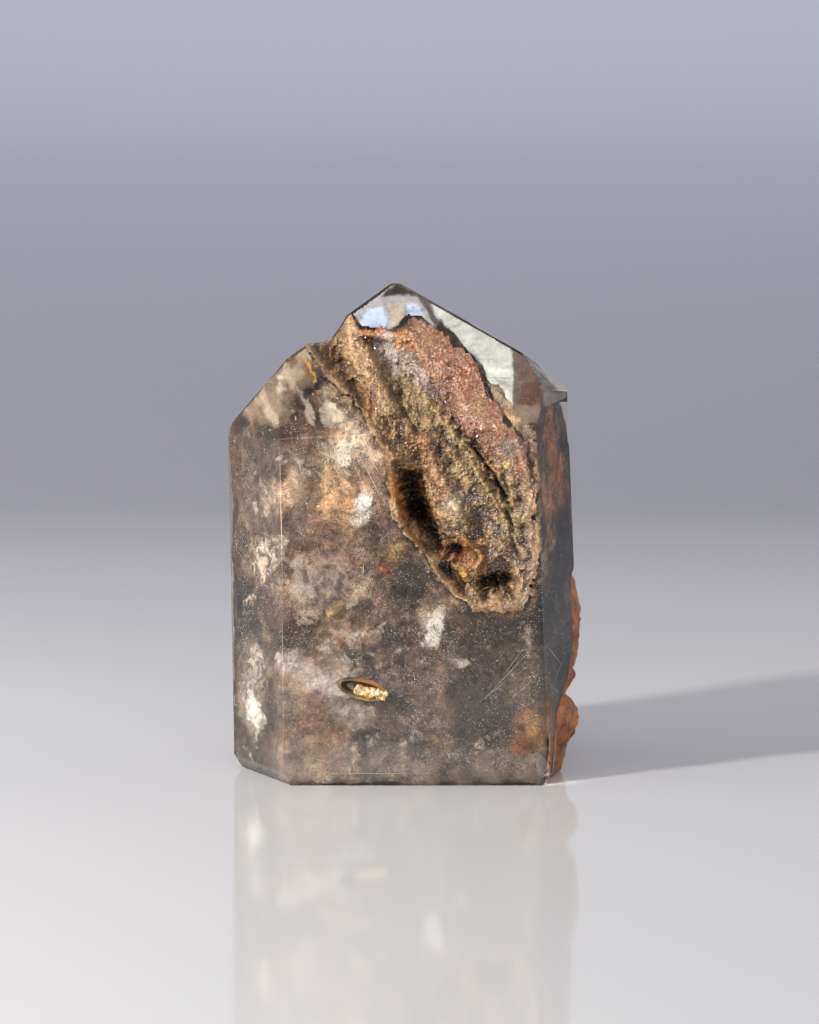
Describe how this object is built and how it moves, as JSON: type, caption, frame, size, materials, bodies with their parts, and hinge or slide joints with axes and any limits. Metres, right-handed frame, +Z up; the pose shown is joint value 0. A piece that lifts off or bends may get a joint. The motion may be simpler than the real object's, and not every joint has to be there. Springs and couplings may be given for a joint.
{
  "type": "garden quartz tower",
  "caption": "Free-standing polished quartz point with a natural crystal-lined hollow across its front and an unpolished skin low on one side.",
  "frame": {"origin": "on the base, midway between the front and back walls and below the tip", "axes": "+Z up through the tip, the front with the hollow faces -Y, +X to the right seen from the front"},
  "size_m": [0.0578, 0.036, 0.08],
  "materials": {
    "smoky_quartz": "polished clear to milky smoky quartz with inclusions",
    "druzy": "rough sugary crystals stained pink, ochre and olive"
  },
  "bodies": {
    "root": {"quartz_tower": "smoky_quartz", "druzy_crust": "druzy"}
  },
  "joints": []
}
